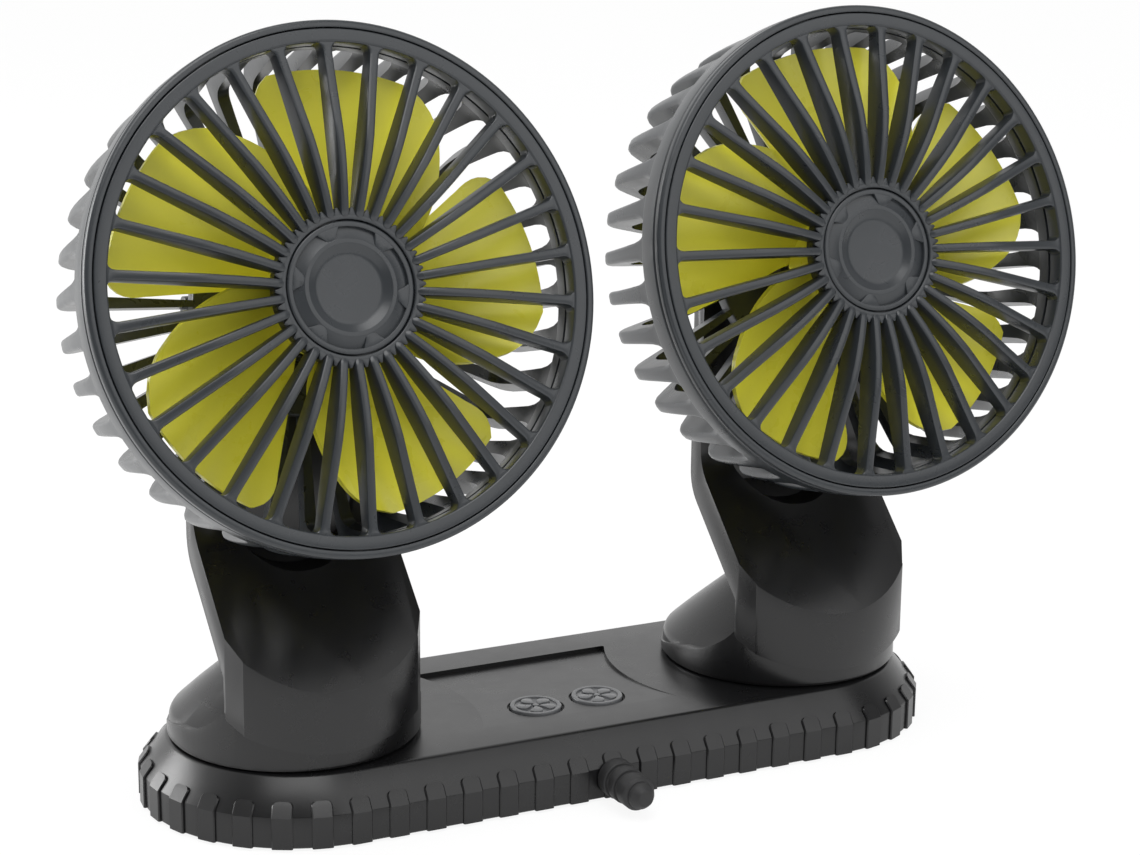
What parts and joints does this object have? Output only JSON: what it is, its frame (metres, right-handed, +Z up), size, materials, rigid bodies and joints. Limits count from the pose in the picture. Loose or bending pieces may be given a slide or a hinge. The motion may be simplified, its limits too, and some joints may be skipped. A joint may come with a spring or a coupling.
{
  "type": "dual head fan",
  "caption": "Fan with two caged heads on turning, tilting yokes over one long base with push buttons, for a car dashboard or a desk.",
  "frame": {"origin": "middle of the underside of the anti-slip mat, on the surface that the fan stands on", "axes": "+X to the right along the base as seen from the front, +Z up, the fans blow towards -Y"},
  "size_m": [0.2772, 0.105, 0.2055],
  "materials": {
    "black_plastic": "fine moulded grain, near black",
    "slate_plastic": "satin slate grey",
    "blade_plastic": "smooth yellow-green",
    "button_plastic": "smooth dark grey with a plain fan symbol",
    "black_rubber": "matt black",
    "board_green": "circuit board",
    "steel": "plain steel"
  },
  "bodies": {
    "base": {"base_shell": "black_plastic", "base_plate": "black_plastic", "base_mat": "black_rubber", "base_screw_1": "steel", "base_screw_2": "steel", "base_screw_3": "steel", "base_screw_4": "steel", "control_board": "board_green", "switch_left": "black_plastic", "switch_right": "black_plastic", "cord_boot": "black_rubber"},
    "button_left": {"speed_button_left": "button_plastic"},
    "button_right": {"speed_button_right": "button_plastic"},
    "pod_left": {"pod_foot_left": "black_plastic", "foot_clip_left": "steel", "neck_yoke_left": "black_plastic", "yoke_screw_left_a": "steel", "yoke_screw_left_b": "steel", "tilt_pin_left": "steel", "tilt_washer_left_a": "black_rubber", "tilt_washer_left_b": "black_rubber"},
    "pod_right": {"pod_foot_right": "black_plastic", "foot_clip_right": "steel", "neck_yoke_right": "black_plastic", "yoke_screw_right_a": "steel", "yoke_screw_right_b": "steel", "tilt_pin_right": "steel", "tilt_washer_right_a": "black_rubber", "tilt_washer_right_b": "black_rubber"},
    "head_left": {"rear_cage_left": "slate_plastic", "front_grille_left": "slate_plastic", "hub_cap_left": "slate_plastic", "motor_cover_left": "black_plastic", "motor_can_left": "steel", "cover_screw_left_1": "steel", "cover_screw_left_2": "steel", "cover_screw_left_3": "steel"},
    "head_right": {"rear_cage_right": "slate_plastic", "front_grille_right": "slate_plastic", "hub_cap_right": "slate_plastic", "motor_cover_right": "black_plastic", "motor_can_right": "steel", "cover_screw_right_1": "steel", "cover_screw_right_2": "steel", "cover_screw_right_3": "steel"},
    "rotor_left": {"impeller_left": "blade_plastic", "motor_shaft_left": "steel"},
    "rotor_right": {"impeller_right": "blade_plastic", "motor_shaft_right": "steel"}
  },
  "joints": [
    {"name": "turn_left", "type": "hinge", "parent": "base", "child": "pod_left", "pos_m": [-0.074, -0.001, 0.0177], "axis": [0, 0, 1], "range_deg": [-170, 170]},
    {"name": "turn_right", "type": "hinge", "parent": "base", "child": "pod_right", "pos_m": [0.074, -0.001, 0.0177], "axis": [0, 0, 1], "range_deg": [-170, 170]},
    {"name": "tilt_left", "type": "hinge", "parent": "pod_left", "child": "head_left", "pos_m": [-0.074, 0.00205, 0.1298], "axis": [-1, 0, 0], "range_deg": [-15, 60]},
    {"name": "tilt_right", "type": "hinge", "parent": "pod_right", "child": "head_right", "pos_m": [0.074, 0.00205, 0.1298], "axis": [-1, 0, 0], "range_deg": [-15, 60]},
    {"name": "spin_left", "type": "hinge", "parent": "head_left", "child": "rotor_left", "pos_m": [-0.074, 0.00205, 0.1298], "axis": [0, -0.9548, 0.2974], "continuous": true},
    {"name": "spin_right", "type": "hinge", "parent": "head_right", "child": "rotor_right", "pos_m": [0.074, 0.00205, 0.1298], "axis": [0, -0.9659, 0.2588], "continuous": true},
    {"name": "press_left", "type": "slide", "parent": "base", "child": "button_left", "axis": [0, 0, -1], "range_m": [0, 0.0008], "stiffness_N_per_m": 400},
    {"name": "press_right", "type": "slide", "parent": "base", "child": "button_right", "axis": [0, 0, -1], "range_m": [0, 0.0008], "stiffness_N_per_m": 400}
  ]
}
